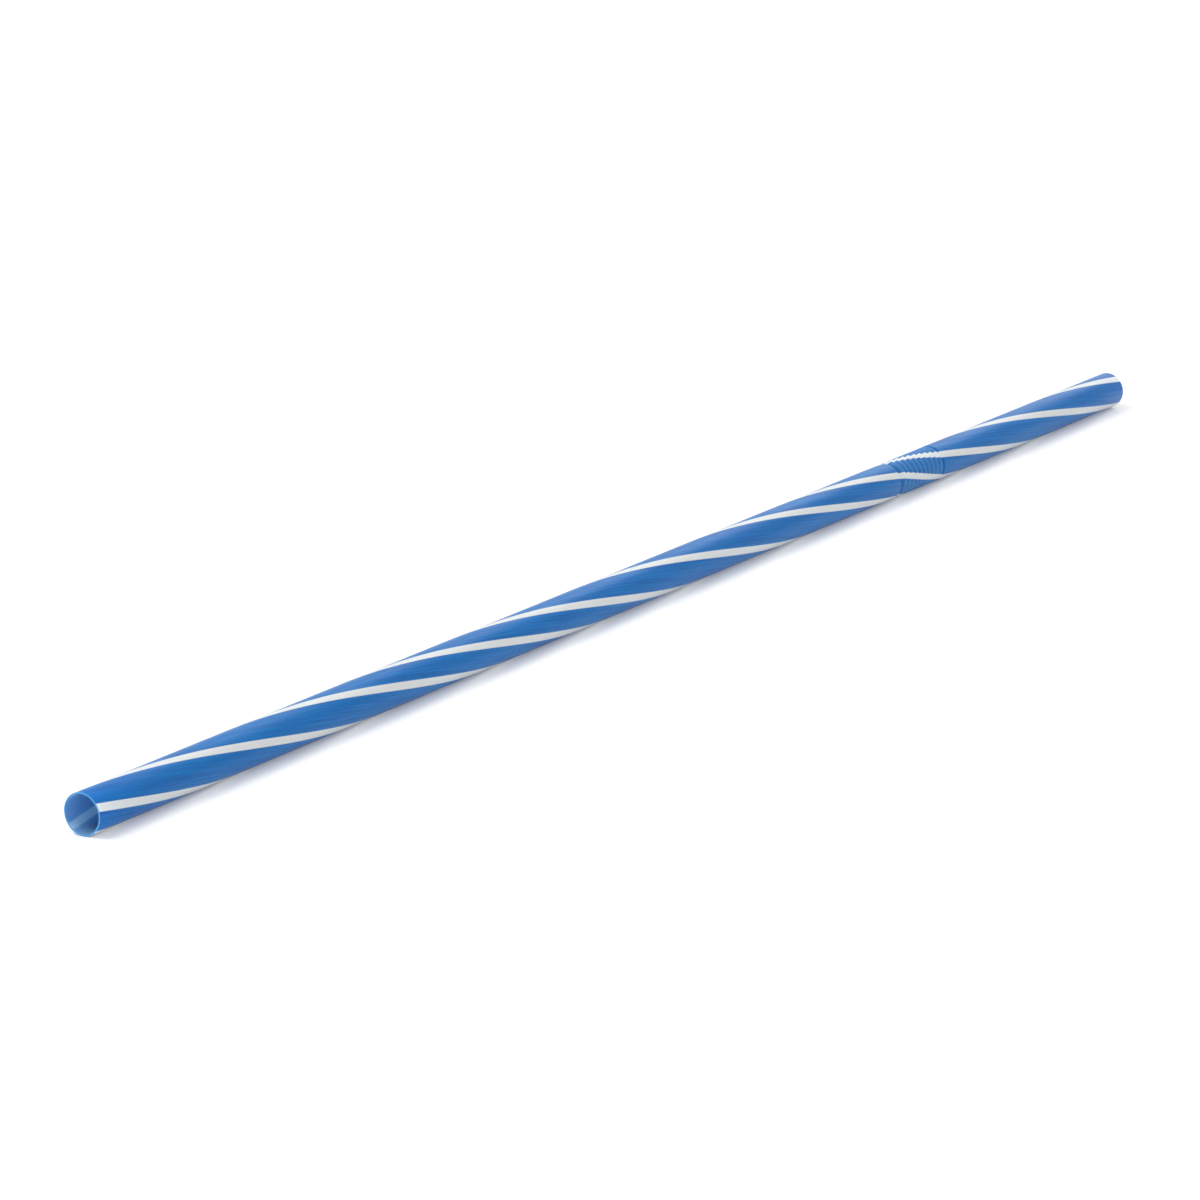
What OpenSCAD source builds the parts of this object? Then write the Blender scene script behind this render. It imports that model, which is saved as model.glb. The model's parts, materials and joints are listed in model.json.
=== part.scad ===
// Bendy plastic drinking straw: one extruded tube of blue polypropylene, lying on its side.
// Millimetres. +X runs from the long leg's end to the drinking end, +Z is up, and the table is z = 0.
// The ribbed bend is the same wall, pressed into folds and pushed shut, as a new straw comes.

/* [Tube] */
// Outside width of both plain legs
tube_d = 5; // [4:0.1:8]
// Thickness of the wall, the same all along the straw
wall = 0.18; // [0.12:0.01:0.24]
// Plain leg that stands in the drink
long_leg = 175.2; // [100:0.1:220]
// Plain leg that is drunk from
short_leg = 52.6; // [25:0.1:80]

/* [Ribbed bend] */
// Number of ridges
ridge_count = 10; // [6:1:20]
// Distance from one ridge to the next, with the bend pushed shut
ridge_pitch = 1.1; // [0.9:0.05:1.6]
// How far each ridge hangs back over the groove behind it
ridge_hang = 0.2; // [0:0.05:0.3]
// How far the ridges stand out beyond the legs
ridge_rise = 0; // [0:0.05:0.4]
// How far the grooves go in from the legs
groove_drop = 0.35; // [0.25:0.05:0.6]
// Length of the step from the long leg down into the first groove
run_in = 0.3; // [0.2:0.05:0.8]
// Length of the slope from the last groove up to the short leg
run_out = 0.9; // [0.5:0.05:1.5]

/* [Smoothness] */
// Steps round the nose of each fold
nose_steps = 4; // [2:1:8]
// Facets round the straw
facets = 96; // [48:12:144]

/* [Hidden] */

bend_l = run_in + ridge_count * ridge_pitch + run_out;
straw_l = long_leg + bend_l + short_leg;

// Radii of the middle of the wall
leg_r = (tube_d - wall) / 2;
ridge_r = leg_r + ridge_rise;
groove_r = leg_r - groove_drop;
axis_z = ridge_r + wall / 2;    // the widest part touches the table

// Middle line of the wall, as [distance along the straw, radius], from end to end
first_groove = long_leg + run_in;
middle_line = concat(
    [[0, leg_r], [long_leg, leg_r], [first_groove, groove_r]],
    [for (i = [1:ridge_count]) each [
        [first_groove + i * ridge_pitch + ridge_hang, ridge_r],
        [first_groove + i * ridge_pitch, groove_r]]],
    [[long_leg + bend_l, leg_r], [straw_l, leg_r]]);

function unit(v) = v / norm(v);
function left(v) = [-v[1], v[0]];
function turn(a, b) = atan2(a[0] * b[1] - a[1] * b[0], a * b);
function turned(v, a) = [v[0] * cos(a) - v[1] * sin(a), v[0] * sin(a) + v[1] * cos(a)];

// One face of a sheet bent along a line: d to the left of it, or to the right where d is negative.
// A fold is round on its outer side and a plain corner on its inner side.
function face(line, d) = [for (k = [0:len(line) - 1])
    let (
        before = k > 0 ? unit(line[k] - line[k - 1]) : unit(line[1] - line[0]),
        after = k < len(line) - 1 ? unit(line[k + 1] - line[k]) : before,
        bend = turn(before, after),
        steps = bend * d < 0 ? nose_steps : 0)
    each (steps > 0
        ? [for (s = [0:steps]) line[k] + d * turned(left(before), bend * s / steps)]
        : [line[k] + d / cos(bend / 2) * turned(left(before), bend / 2)])];

function reversed(list) = [for (k = [len(list) - 1:-1:0]) list[k]];

// The cut edge of the whole wall: out along its outer face and back along its inner face
wall_section = concat(face(middle_line, wall / 2), reversed(face(middle_line, -wall / 2)));

// The one-piece straw: its wall section turned once round the axis, then laid along X
module straw() {
    color([0.05, 0.33, 0.68])
        translate([-straw_l / 2, 0, axis_z])
            rotate([0, 90, 0])
                rotate_extrude($fn = facets)
                    polygon([for (p = wall_section) [p[1], p[0]]]);
}

straw();
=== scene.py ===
# %% [markdown]
# # A striped bendy straw
# The object is one thin plastic tube: a long leg that stands in the drink, a ribbed bend pushed
# shut, and a short leg to drink from. The CAD model holds its true size and its folded wall.
# Blender adds what the eye sees: the coextruded white stripes, the semi-gloss of polypropylene,
# light coming through the thin wall, and the marks that the tools of the factory leave.

import json
import math

import bpy
import numpy as np
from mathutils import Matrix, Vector


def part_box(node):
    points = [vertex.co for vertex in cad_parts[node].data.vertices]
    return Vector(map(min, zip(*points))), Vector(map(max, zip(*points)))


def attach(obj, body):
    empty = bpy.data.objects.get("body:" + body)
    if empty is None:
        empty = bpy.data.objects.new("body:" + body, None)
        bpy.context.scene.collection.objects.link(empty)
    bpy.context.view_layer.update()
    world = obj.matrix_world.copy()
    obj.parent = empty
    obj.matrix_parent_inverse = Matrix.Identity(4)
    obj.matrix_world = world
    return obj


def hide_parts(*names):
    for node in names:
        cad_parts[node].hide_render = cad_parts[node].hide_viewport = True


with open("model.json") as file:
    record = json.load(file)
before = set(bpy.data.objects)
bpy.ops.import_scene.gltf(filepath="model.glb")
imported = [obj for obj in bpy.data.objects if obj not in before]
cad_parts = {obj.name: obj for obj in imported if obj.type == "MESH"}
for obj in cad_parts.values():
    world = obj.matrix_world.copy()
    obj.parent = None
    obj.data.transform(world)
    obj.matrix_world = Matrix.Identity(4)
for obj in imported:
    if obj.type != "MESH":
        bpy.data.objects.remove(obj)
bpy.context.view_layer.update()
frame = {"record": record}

# %% [markdown]
# ## Sizes
# The straw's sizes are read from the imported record, where the bores and the outsides of both
# legs are listed, so the looks follow the CAD model if it changes. Only the folds of the bend
# are given again here, because the record doesn't list them. Blender works in metres.

# %% Read the tube's sizes
MM = 0.001
mounts = {m["name"]: m["dims"] for m in frame["record"]["mounts"]}
low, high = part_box("straw")

straw_l = high.x - low.x
long_leg = mounts["long_leg_outside"]["length_mm"] * MM
short_leg = mounts["short_leg_outside"]["length_mm"] * MM
outer_r = mounts["long_leg_outside"]["r_mm"] * MM
wall = outer_r - mounts["long_leg_bore"]["r_mm"] * MM
leg_r = outer_r - wall / 2            # radius of the middle of the wall
print(f"straw {straw_l / MM:.1f} mm long, wall {wall / MM:.2f} mm")
print(f"legs {long_leg / MM:.1f} and {short_leg / MM:.1f} mm")

# %% Name the sizes of the ribbed bend
RIDGES = 10
PITCH = 1.1 * MM                      # from one ridge to the next
HANG = 0.2 * MM                       # a ridge hangs back over the groove behind it
DROP = 0.35 * MM                      # depth of the grooves; the ridges are as wide as the legs
RUN_IN = 0.3 * MM                     # step down from the long leg
RUN_OUT = 0.9 * MM                    # slope up to the short leg

axis_z = outer_r                      # legs and ridges lie on the table
bend_l = RUN_IN + RIDGES * PITCH + RUN_OUT
print(f"bend {bend_l / MM:.1f} mm, with the legs {(long_leg + bend_l + short_leg) / MM:.1f} mm")

# %% [markdown]
# ## The wall as a sheet
# A straw's wall is one sheet of even thickness, so a single line drawn through the middle of
# the sheet describes it: straight along the legs, and a zigzag through the bend. The factory
# presses the zigzag into the plain tube and then pushes it shut, which tips each ridge back over
# the groove behind it. A cone and a few loops could imitate ridges on the outside only. Drawing
# the sheet itself gives the real ridges outside, their hollows inside and the true wall between.

# %% Draw the middle line of the wall
first_groove = long_leg + RUN_IN
ridge_no = np.arange(1, RIDGES + 1)

ridge_points = np.column_stack([first_groove + ridge_no * PITCH + HANG, np.full(RIDGES, leg_r)])
groove_points = np.column_stack([first_groove + ridge_no * PITCH, np.full(RIDGES, leg_r - DROP)])
folds = np.stack([ridge_points, groove_points], axis=1).reshape(-1, 2)

middle_line = np.vstack([
    [[0, leg_r], [long_leg, leg_r], [first_groove, leg_r - DROP]],
    folds,
    [[long_leg + bend_l, leg_r], [straw_l, leg_r]],
])

# How far a point has come along the sheet, which is longer than the straw because of the folds
sheet_at = np.concatenate([[0], np.cumsum(np.linalg.norm(np.diff(middle_line, axis=0), axis=1))])
print(f"{len(middle_line)} corners; "
      f"{sheet_at[-1] / MM:.1f} mm of sheet in {straw_l / MM:.1f} mm of straw")


# %% Give the sheet its thickness
NOSE_STEPS = 6                        # steps round the outside of each fold


def face_of(line, along, offset):
    """One face of a sheet, offset to the left of its middle line (to the right if negative).

    The two directions that meet at a corner are turned a quarter to the left. On the outside of
    the corner the face is an arc between them, and on the inside it is their mitre, which lies
    offset / cos(half the bend) out along the direction halfway between. Returns the points as
    [x, r] and how far along the sheet each one is.
    """
    step = np.diff(line, axis=0)
    step /= np.linalg.norm(step, axis=1)[:, None]
    before = np.vstack([step[:1], step])
    after = np.vstack([step, step[-1:]])
    cross = before[:, 0] * after[:, 1] - before[:, 1] * after[:, 0]
    bend = np.arctan2(cross, (before * after).sum(axis=1))
    left = np.column_stack([-before[:, 1], before[:, 0]])

    outside = bend * offset < 0
    share = np.linspace(0, 1, NOSE_STEPS + 1)[None, :]
    angle = np.where(outside[:, None], bend[:, None] * share, bend[:, None] / 2)
    reach = np.where(outside, offset, offset / np.cos(bend / 2))[:, None]
    x = line[:, :1] + reach * (left[:, :1] * np.cos(angle) - left[:, 1:] * np.sin(angle))
    r = line[:, 1:] + reach * (left[:, :1] * np.sin(angle) + left[:, 1:] * np.cos(angle))

    keep = outside[:, None] | (share == 0)      # a mitre is one point
    return np.stack([x[keep], r[keep]], axis=1), np.broadcast_to(along[:, None], keep.shape)[keep]


outer_face, outer_at = face_of(middle_line, sheet_at, wall / 2)
inner_face, inner_at = face_of(middle_line, sheet_at, -wall / 2)
print(f"outer face {len(outer_face)} points, inner face {len(inner_face)} points")
print(f"widest {2 * outer_face[:, 1].max() / MM:.2f} mm, "
      f"narrowest bore {2 * inner_face[:, 1].min() / MM:.2f} mm")

# %% [markdown]
# ## The cut ends
# Straws are cut from an endless tube by a flying knife. The cut is square, and its corners are
# a few hundredths of a millimetre round. A perfectly sharp corner would catch no light, so each
# corner of the rim gets a small quarter circle, which draws the fine bright ring of each mouth.

# %% Round the corners of the rims
RIM_ROUND = 0.035 * MM
RIM_STEPS = 4


def rounded_rim(x_end, direction):
    """Points round one cut end, from the outer face to the inner face.

    Two quarter circles of radius RIM_ROUND, centred RIM_ROUND inside the end and inside each
    face: x = centre + direction * radius * sin(a) and r = centre +- radius * cos(a).
    """
    a = np.linspace(0, math.pi / 2, RIM_STEPS + 1)
    x = x_end + direction * RIM_ROUND * (np.sin(a) - 1)
    out = np.column_stack([x, leg_r + wall / 2 - RIM_ROUND * (1 - np.cos(a))])
    back = np.column_stack([x, leg_r - wall / 2 + RIM_ROUND * (1 - np.cos(a))])
    return np.vstack([out, back[::-1]])


drinking_rim = rounded_rim(straw_l, 1)
standing_rim = rounded_rim(0, -1)[::-1]
print(f"{len(drinking_rim)} points round each rim")

# %% [markdown]
# ## One grid for the whole wall
# The outer face, the drinking rim, the inner face and the standing rim join into one closed
# outline. Carried once round the axis it makes a grid that closes on itself both ways, like a
# very long ring, so the mesh has no seam, no pole and no hole, and it encloses exactly the
# plastic. Spin or Screw modifiers would do it too, but a grid lets every corner carry its place
# on the sheet, which the stripes need later. Long plain stretches need no extra rows, because
# they are straight, but a few keep the triangles from being very thin.

# %% Join the outline of the wall
OUTSIDE, CUT, INSIDE = 0.0, 1.0, 2.0
LEG_ROWS = 24                         # rows along the long leg
AROUND = 128                          # columns round the straw


def with_rows(points, along, rows_per_metre):
    """The same line with points added along its long stretches, evenly spaced in between."""
    gap = np.linalg.norm(np.diff(points, axis=0), axis=1)
    count = np.maximum(1, np.round(gap * rows_per_metre).astype(int))
    start = np.repeat(np.arange(len(gap)), count)
    share = (np.arange(count.sum()) - np.repeat(np.cumsum(count) - count, count)) / count[start]
    fill = lambda v: np.append(v[start] + share * (v[start + 1] - v[start]), v[-1])
    return np.column_stack([fill(points[:, 0]), fill(points[:, 1])]), fill(along)


rows_per_metre = LEG_ROWS / long_leg
outer_face[0, 0], inner_face[0, 0] = RIM_ROUND, RIM_ROUND
outer_face[-1, 0], inner_face[-1, 0] = straw_l - RIM_ROUND, straw_l - RIM_ROUND
outer_face, outer_at = with_rows(outer_face, outer_at, rows_per_metre)
inner_face, inner_at = with_rows(inner_face, inner_at, rows_per_metre)

outline = np.vstack([outer_face, drinking_rim[1:-1], inner_face[::-1], standing_rim[1:-1]])
rim_rows = len(drinking_rim) - 2
along_sheet = np.concatenate([
    outer_at, np.full(rim_rows, sheet_at[-1]), inner_at[::-1], np.zeros(rim_rows)])
surface = np.repeat(
    [OUTSIDE, CUT, INSIDE, CUT],
    [len(outer_face) - 1, rim_rows + 1, len(inner_face) - 1, rim_rows + 1])
print(f"{len(outline)} rows x {AROUND} columns")


# %% Carry the outline round the axis
def straw_grid():
    """Vertices and quads of the wall.

    Point (i, j) is outline point i turned by j / AROUND of a full turn about the straw's axis:
    x = x_i - half the length, y = r_i cos(angle), z = axis height + r_i sin(angle).
    """
    turn = np.arange(AROUND) / AROUND
    x = np.repeat(outline[:, :1] - straw_l / 2, AROUND, axis=1)
    y = outline[:, 1:] * np.cos(2 * math.pi * turn)
    z = axis_z + outline[:, 1:] * np.sin(2 * math.pi * turn)
    i, j = np.meshgrid(np.arange(len(outline)), np.arange(AROUND), indexing="ij")
    i2, j2 = (i + 1) % len(outline), (j + 1) % AROUND
    quads = np.stack([i * AROUND + j, i * AROUND + j2, i2 * AROUND + j2, i2 * AROUND + j], axis=-1)
    return np.stack([x, y, z], axis=-1).reshape(-1, 3), quads.reshape(-1, 4)


points, quads = straw_grid()
mesh = bpy.data.meshes.new("striped_straw")
mesh.from_pydata(points, [], quads)
straw = bpy.data.objects.new("striped_straw", mesh)
bpy.context.scene.collection.objects.link(straw)


def enclosed_volume(mesh):
    """A sixth of the sum over triangles of a . (b x c): positive if the faces point outwards."""
    mesh.calc_loop_triangles()
    corner = np.zeros(3 * len(mesh.loop_triangles), np.int32)
    mesh.loop_triangles.foreach_get("vertices", corner)
    co = np.zeros(3 * len(mesh.vertices))
    mesh.vertices.foreach_get("co", co)
    a, b, c = co.reshape(-1, 3)[corner.reshape(-1, 3)].transpose(1, 0, 2)
    return (a * np.cross(b, c)).sum() / 6


volume = enclosed_volume(mesh)
print(f"plastic in the wall: {volume / MM ** 3:.1f} mm3; {len(mesh.loop_triangles)} triangles")

# %% [markdown]
# ## Where a point lies on the sheet
# The stripes were extruded into the plain tube before the bend was pressed, so they follow the
# sheet: they run up and down every fold with it, and look steeper there. The UV map holds just
# that place. U is the distance along the sheet in centimetres, and V the share of a turn round
# the straw. The last column ends at exactly 1 and not back at 0, which only a UV map can hold,
# because it belongs to the corners of faces. A second layer marks each face as outside, cut edge
# or inside, since the white is only in the outer skin. Two more layers say how near a point is
# to the nose of a ridge, where pressing has stretched the wall and a highlight is painted, and how
# deep it lies in a groove, where shade is painted.

# %% Write the sheet map and the layers
CM = 0.01
CREST_DEPTH = 0.07 * MM               # how far down its flanks a ridge is painted pale, partly stretched plastic and partly a painted highlight
SHARP = math.radians(35)              # edges that bend more than this aren't smoothed over


def write_sheet_map(mesh):
    """U and V of every face corner, in the order of a quad's corners.

    That order is (i, j), (i, j + 1), (i + 1, j + 1), (i + 1, j).
    """
    i, j = np.meshgrid(np.arange(len(outline)), np.arange(AROUND), indexing="ij")
    here, there = along_sheet[i] / CM, along_sheet[(i + 1) % len(outline)] / CM
    u = np.stack([here, here, there, there], axis=-1)
    v = np.stack([j, j + 1, j + 1, j], axis=-1) / AROUND
    layer = mesh.uv_layers.new(name="sheet")
    layer.data.foreach_set("uv", np.stack([u, v], axis=-1).ravel())


def crest_and_groove(points):
    """One value a row for crests and grooves, from 0 to 1: crests stretched pale and painted with
    a highlight, grooves painted with shade.

    Crest is 1 on the nose of a ridge and falls to 0 by CREST_DEPTH below it. Groove is the depth
    below the legs' surface as a share of DROP. Both are 0 on the legs.
    """
    x, r = points.T
    in_bend = (x > long_leg) & (x < long_leg + bend_l - 0.5 * RUN_OUT)
    on_ridge = in_bend & (x > first_groove + 0.5 * PITCH)
    crest = np.where(on_ridge, (r - outer_r) / CREST_DEPTH + 1, 0)
    groove = np.where(in_bend, (outer_r - r) / DROP, 0)
    return np.clip(crest, 0, 1), np.clip(groove, 0, 1)


write_sheet_map(mesh)
skin = mesh.attributes.new("skin", "FLOAT", "FACE")
skin.data.foreach_set("value", np.repeat(surface, AROUND))
for name, value in zip(("crest", "groove"), crest_and_groove(outline)):
    layer = mesh.attributes.new(name, "FLOAT", "POINT")
    layer.data.foreach_set("value", np.repeat(value, AROUND))
mesh.shade_smooth()
mesh.set_sharp_from_angle(angle=SHARP)
mesh.update()
print(f"U runs to {sheet_at[-1] / CM:.1f} cm of sheet")

# %% [markdown]
# ## Striped polypropylene
# The plastic is blue all through, with four white stripes laid into its outer skin by a turning
# die, so each stripe winds round the straw like a screw thread. A painted image could show them,
# but it would blur and stretch in the folds. Here the shader works out the distance from a
# point of the sheet to the nearest stripe's middle line instead, so an edge stays crisp at any
# size. The die sits a little off the middle, so the stripes aren't quite evenly spaced. The white
# is opaque from outside, and it shows faintly through the blue on the inside of the mouth. The
# blue is semi-gloss and lets some light through. Light and shade are also painted into it. The
# grooves are painted darker as shade, and the inside is painted paler as light that comes through
# the wall. The ridges are a little paler, where pressing has stretched them and a highlight is
# painted. The cut ends are bruised pale by the knife and painted with light that scatters out
# there.

# %% Place the stripes and name the colours
STRIPES = 4
LEAD = 98.8 * MM                      # length of sheet in which a stripe winds once round
STRIPE_W = 0.95 * MM
STRIPE_EDGE = 0.10 * MM               # how softly the white ends
STRIPE_START = 0.647                  # turn, from +Y to +Z, of a stripe at the standing end
UNEVEN = 0.0276                       # the most a stripe is out of its even place, in turns


def linear(r, g, b):
    """An sRGB colour in 0 to 255 as the linear RGBA that a shader takes."""
    c = np.array([r, g, b]) / 255
    return (*np.where(c <= 0.04045, c / 12.92, ((c + 0.055) / 1.055) ** 2.4), 1.0)


BLUE = linear(8, 116, 190)
BLUE_DEEP = linear(4, 100, 174)
WHITE = linear(230, 240, 246)
# The cut and crest blues are partly painted light, the inside blue is painted light from through
# the wall, and the groove blue is painted shade.
CUT_BLUE = linear(104, 170, 220)
CREST_BLUE = linear(120, 182, 226)
INSIDE_BLUE = linear(124, 166, 206)
BEHIND_STRIPE = linear(190, 212, 232)
GROOVE_BLUE = linear(2, 74, 140)
print("blue", [round(c, 3) for c in BLUE[:3]], "white", [round(c, 3) for c in WHITE[:3]])


# %% Helpers to write a shader as formulas
class Shader:
    """A material's nodes, written like sums: each call adds a node and returns its output."""

    def __init__(self, name):
        self.material = bpy.data.materials.new(name)
        self.material.use_nodes = True
        self.tree = self.material.node_tree
        self.surface = self.tree.nodes["Principled BSDF"]

    def node(self, kind, **settings):
        node = self.tree.nodes.new(kind)
        for name, value in settings.items():
            setattr(node, name, value)
        return node

    def put(self, socket, value):
        """Links an output to an input, or sets the input if value is a plain number or colour."""
        if isinstance(value, bpy.types.NodeSocket):
            self.tree.links.new(value, socket)
        else:
            socket.default_value = value

    def math(self, operation, *values, clamp=False):
        node = self.node("ShaderNodeMath", operation=operation, use_clamp=clamp)
        for socket, value in zip(node.inputs, values):
            self.put(socket, value)
        return node.outputs[0]

    def smooth(self, value, start, end):
        """0 up to start, 1 from end on, and a soft slope between."""
        node = self.node("ShaderNodeMapRange", interpolation_type="SMOOTHSTEP")
        for name, v in (("Value", value), ("From Min", start), ("From Max", end)):
            self.put(node.inputs[name], v)
        return node.outputs[0]

    def mix(self, share, a, b):
        node = self.node("ShaderNodeMix", data_type="RGBA")
        for socket, value in zip((node.inputs[0], node.inputs[6], node.inputs[7]), (share, a, b)):
            self.put(socket, value)
        return node.outputs[2]

    def layer(self, name):
        """A value that the mesh carries under this name."""
        return self.node("ShaderNodeAttribute", attribute_name=name).outputs["Fac"]

    def noise(self, vector, scale, detail=2.0):
        node = self.node("ShaderNodeTexNoise")
        self.put(node.inputs["Vector"], vector)
        node.inputs["Scale"].default_value = scale
        node.inputs["Detail"].default_value = detail
        return node.outputs["Fac"]


# %% Draw the stripes on the sheet
DIE_STRETCH = 0.06                    # the die's marks change this slowly along the sheet, per cm
DRIFT = 0.16                          # how far a stripe's edge wanders, in mm


def turn_from_stripe(s, u, v):
    """The share of a turn from the first stripe, t = v - u / lead - start."""
    wound = s.math("MULTIPLY", u, CM / LEAD)
    return s.math("SUBTRACT", s.math("SUBTRACT", v, wound), STRIPE_START)


def die_marks(s, u, angle):
    """Streaks that run with the stripes: fine die lines, and a slower drift.

    The noise is read at (cos angle, sin angle), a circle, so it closes round the straw.
    """
    ring = s.node("ShaderNodeCombineXYZ")
    s.put(ring.inputs[0], s.math("COSINE", angle))
    s.put(ring.inputs[1], s.math("SINE", angle))
    s.put(ring.inputs[2], s.math("MULTIPLY", u, DIE_STRETCH))
    return s.noise(ring.outputs[0], 14.0, 3.0), s.noise(ring.outputs[0], 2.2, 1.0)


def away_from_stripe(s, t, angle, drift):
    """The distance in mm from the middle line of the nearest stripe.

    The count 4 t + 4 uneven sin(angle) is a whole number on each stripe's middle line. A pingpong
    gives the distance from the nearest whole number, and the girth divided by how fast the count
    grows with t turns it into a length. The drift moves it a little to and fro.
    """
    even = s.math("MULTIPLY", t, STRIPES)
    count = s.math("MULTIPLY_ADD", s.math("SINE", angle), STRIPES * UNEVEN, even)
    growth = s.math(
        "MULTIPLY_ADD", s.math("COSINE", angle), STRIPES * UNEVEN * 2 * math.pi, STRIPES)
    girth_mm = 2 * math.pi * outer_r / MM
    off_count = s.math("MULTIPLY", s.math("PINGPONG", count, 0.5), girth_mm)
    away = s.math("DIVIDE", off_count, growth)
    return s.math("ADD", away, s.math("MULTIPLY", s.math("SUBTRACT", drift, 0.5), DRIFT))


lean = math.degrees(math.atan(2 * math.pi * outer_r / LEAD))
print(f"on the legs a stripe leans {lean:.1f} degrees from the straw's length")


# %% Mix the striped plastic
GRAIN = 9000.0                        # fine grain of the surface, in waves per metre
ROUGH = 0.22                          # the smoothest places
BUMP = 0.02 * MM                      # height of the die lines
GLOW = 0.65 * MM                      # how far light spreads in the wall


def striped_plastic():
    """Blue polypropylene with white stripes in its outer skin, mixed from soft masks."""
    s = Shader("striped_plastic")
    split = s.node("ShaderNodeSeparateXYZ")
    s.put(split.inputs[0], s.node("ShaderNodeUVMap", uv_map="sheet").outputs[0])
    u, v = split.outputs[0], split.outputs[1]
    t = turn_from_stripe(s, u, v)
    angle = s.math("MULTIPLY", t, 2 * math.pi)
    die_lines, drift = die_marks(s, u, angle)
    away = away_from_stripe(s, t, angle, drift)

    skin = s.layer("skin")
    outside = s.math("LESS_THAN", skin, 0.5)
    cut = s.math("COMPARE", skin, CUT, 0.1)
    inside = s.math("GREATER_THAN", skin, 1.5)
    half, edge = STRIPE_W / MM / 2, STRIPE_EDGE / MM / 2
    stripe = s.math("MULTIPLY", s.smooth(away, half + edge, half - edge), outside)
    behind = s.math("MULTIPLY", s.smooth(away, half + 3 * edge, half - 3 * edge), inside)
    groove = s.math("MULTIPLY", s.layer("groove"), outside)

    colour = s.mix(s.smooth(die_lines, 0.35, 0.65), BLUE, BLUE_DEEP)
    for mask, share, tint in (
            (inside, 0.80, INSIDE_BLUE),            # lit through the wall
            (groove, 0.85, GROOVE_BLUE),            # in the shade of the ridges
            (s.layer("crest"), 0.25, CREST_BLUE),   # stretched pale, and a painted highlight
            (behind, 0.50, BEHIND_STRIPE),          # the white behind the blue
            (cut, 0.55, CUT_BLUE),                  # bruised pale by the knife, and painted light scattered at the cut
            (stripe, 0.96, WHITE)):
        colour = s.mix(s.math("MULTIPLY", mask, share), colour, tint)

    grain = s.noise(s.node("ShaderNodeTexCoord").outputs["Object"], GRAIN, 2.0)
    rough = ROUGH
    for mark, share in ((die_lines, 0.10), (grain, 0.08), (stripe, 0.08)):
        rough = s.math("ADD", s.math("MULTIPLY", mark, share), rough)

    bump = s.node("ShaderNodeBump")
    bump.inputs["Strength"].default_value = 0.25
    bump.inputs["Distance"].default_value = BUMP
    s.put(bump.inputs["Height"], s.math("ADD", die_lines, s.math("MULTIPLY", grain, 0.35)))

    for name, value in (
            ("Base Color", colour), ("Roughness", rough), ("Normal", bump.outputs[0]),
            ("IOR", 1.49), ("Specular IOR Level", 0.2),
            ("Subsurface Weight", 1.0), ("Subsurface Radius", (0.8, 0.9, 1.0)),
            ("Subsurface Scale", GLOW)):
        s.put(s.surface.inputs[name], value)
    return s.material


mesh.materials.append(striped_plastic())
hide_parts("straw")
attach(straw, "root")
print("striped plastic on", straw.name)

# %% [markdown]
# ## A white table
# The straw is pictured on plain white. The floor is a real diffuse surface, so the thin straw
# keeps its soft contact shadow and picks up light from below. What the camera sees directly is
# lifted a little towards white by a faint glow that only camera and reflected rays meet, so the
# white comes from the floor and not from stronger lamps, which would bleach the stripes.

# %% Lay the table
TABLE_GLOW = 0.19                     # lifts the table to white in the picture


def white_table():
    """Matt white that also glows for the rays that go to the camera."""
    s = Shader("white_table")
    s.surface.inputs["Base Color"].default_value = (0.86, 0.86, 0.86, 1)
    s.surface.inputs["Roughness"].default_value = 0.6
    rays = s.node("ShaderNodeLightPath")
    seen = s.math("MAXIMUM", rays.outputs["Is Camera Ray"], rays.outputs["Is Glossy Ray"])
    seen = s.math("MAXIMUM", seen, rays.outputs["Is Transmission Ray"])
    s.put(s.surface.inputs["Emission Strength"], s.math("MULTIPLY", seen, TABLE_GLOW))
    s.surface.inputs["Emission Color"].default_value = (1, 1, 1, 1)
    return s.material


HALF_TABLE = 2.5
table_mesh = bpy.data.meshes.new("table")
corners = HALF_TABLE * np.array([[-1, -1, 0], [1, -1, 0], [1, 1, 0], [-1, 1, 0]])
table_mesh.from_pydata(corners, [], [(0, 1, 2, 3)])
table_mesh.materials.append(white_table())
table = bpy.data.objects.new("table", table_mesh)
bpy.context.scene.collection.objects.link(table)
print(f"table {2 * HALF_TABLE:.0f} m wide, at z = 0")

# %% [markdown]
# ## Soft studio light
# Such product pictures are taken in a light tent: white all round, with large soft lamps shining
# in. The world is the tent. The key lamp stands high on the far side and draws the shadow, and a
# weaker lamp beyond the drinking end puts the soft sheen along the top. Together they give about
# as much light as a plain white sky, so each colour renders about as it is written.

# %% Put up the tent and the lamps
TENT = 0.82                           # the tent's strength as a light
KEY_SIZE, KEY_POWER = 0.6, 4.6        # metres and watts
GLOSS_SIZE, GLOSS_POWER = 0.5, 0.8


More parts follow.
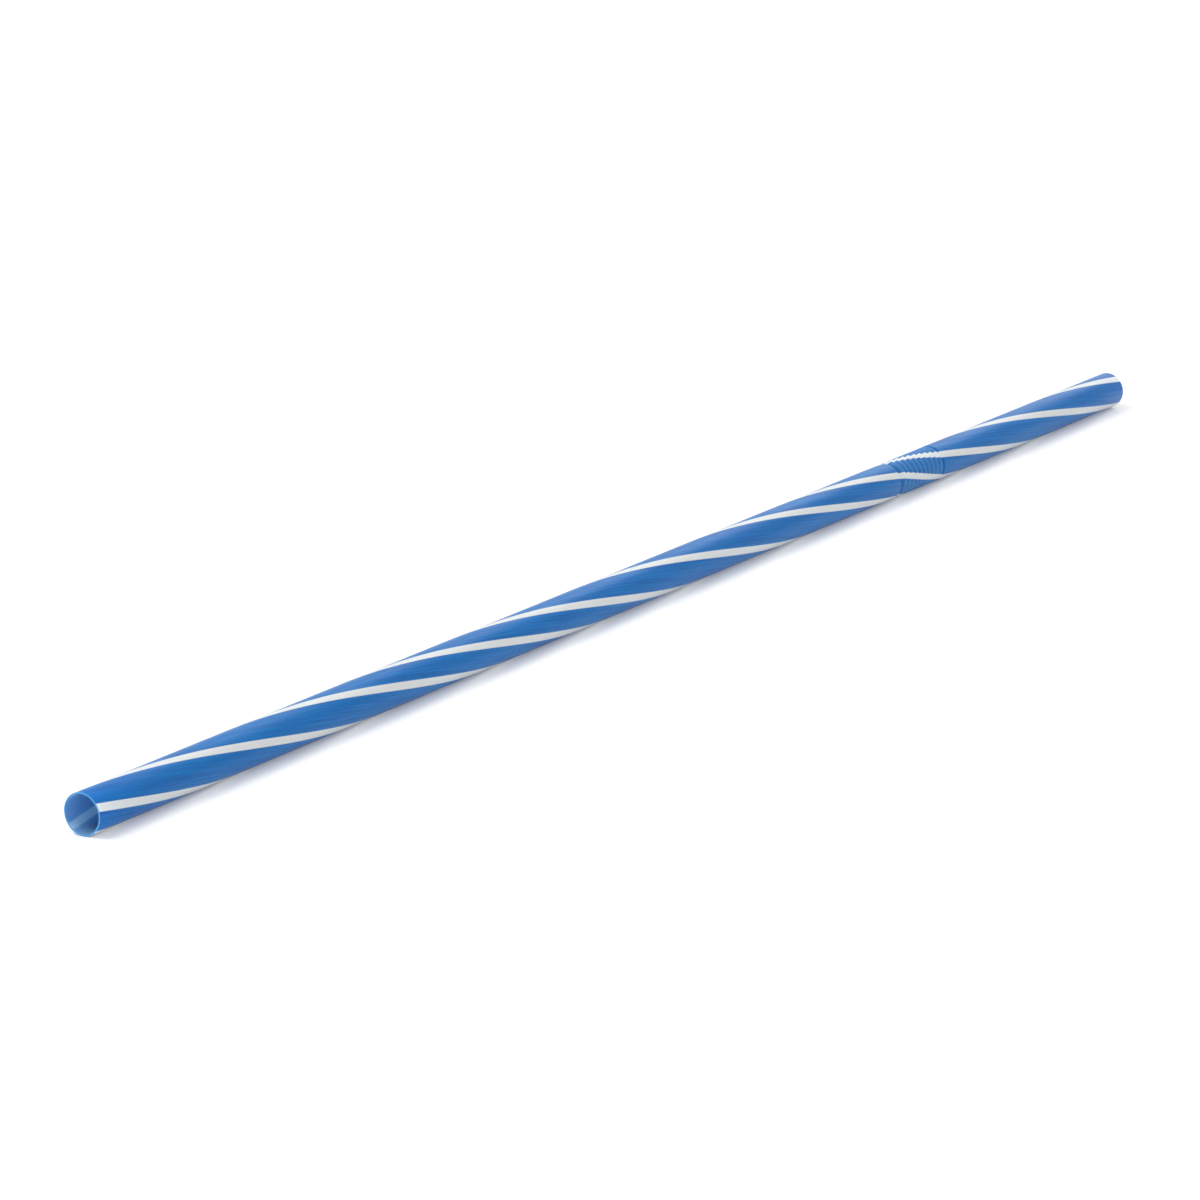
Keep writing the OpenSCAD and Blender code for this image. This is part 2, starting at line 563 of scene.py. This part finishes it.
def tent(strength):
    """A world of even white, which lights with `strength` and is plain white where it is seen."""
    world = bpy.data.worlds.new("tent")
    world.use_nodes = True
    tree = world.node_tree
    light = tree.nodes["Background"]
    light.inputs["Color"].default_value = (1, 1, 1, 1)
    rays = tree.nodes.new("ShaderNodeLightPath")
    seen = tree.nodes.new("ShaderNodeMath")
    seen.operation = "MAXIMUM"
    tree.links.new(rays.outputs["Is Camera Ray"], seen.inputs[0])
    tree.links.new(rays.outputs["Is Transmission Ray"], seen.inputs[1])
    level = tree.nodes.new("ShaderNodeMapRange")
    level.inputs["To Min"].default_value = strength
    level.inputs["To Max"].default_value = 1.0
    tree.links.new(seen.outputs[0], level.inputs["Value"])
    tree.links.new(level.outputs[0], light.inputs["Strength"])
    bpy.context.scene.world = world


def softbox(name, place, target, size, power):
    """A square lamp at `place` that faces `target`, both in metres."""
    lamp = bpy.data.lights.new(name, "AREA")
    lamp.shape, lamp.size, lamp.energy = "SQUARE", size, power
    holder = bpy.data.objects.new(name, lamp)
    holder.location = place
    holder.rotation_euler = (target - holder.location).to_track_quat("-Z", "Y").to_euler()
    bpy.context.scene.collection.objects.link(holder)


middle = Vector((0, 0, axis_z))
tent(TENT)
softbox("key", (-0.45, 0.35, 0.85), middle, KEY_SIZE, KEY_POWER)
softbox("gloss", (0.9, 0.2, 0.55), middle, GLOSS_SIZE, GLOSS_POWER)
print(f"a tent of strength {TENT} and lamps of {KEY_POWER} and {GLOSS_POWER} W")

# %% [markdown]
# ## The camera
# The photograph looks along the straw from its standing end, from one side and from just above
# the table, through a long lens. Two facts fix such a view: where the camera is, given here as a
# bearing, a height angle and a distance from the straw's middle, and how long the lens is. The
# perspective follows from the place alone, so the near mouth is as much larger than the far one
# as in the picture.

# %% Place the camera
BEARING = math.radians(-147.9)        # from +X, seen from above
HEIGHT = math.radians(15.2)
DISTANCE = 0.678
LENS, SENSOR = 160, 36                # both in millimetres
AIM_X = -16 * MM                      # the picture's middle lies a little nearer than the straw's

level = math.cos(HEIGHT)
place = middle + DISTANCE * Vector((
    level * math.cos(BEARING), level * math.sin(BEARING), math.sin(HEIGHT)))
aim = middle + Vector((AIM_X, 0, 0))
camera_data = bpy.data.cameras.new("camera")
camera_data.lens, camera_data.sensor_width = LENS, SENSOR
camera_data.clip_start = 0.01
camera = bpy.data.objects.new("camera", camera_data)
camera.location = place
camera.rotation_euler = (aim - place).to_track_quat("-Z", "Y").to_euler()
bpy.context.scene.collection.objects.link(camera)
bpy.context.scene.camera = camera
print("camera at", [round(c, 3) for c in place])

# %% Finish
bpy.context.scene.view_settings.view_transform = "Standard"
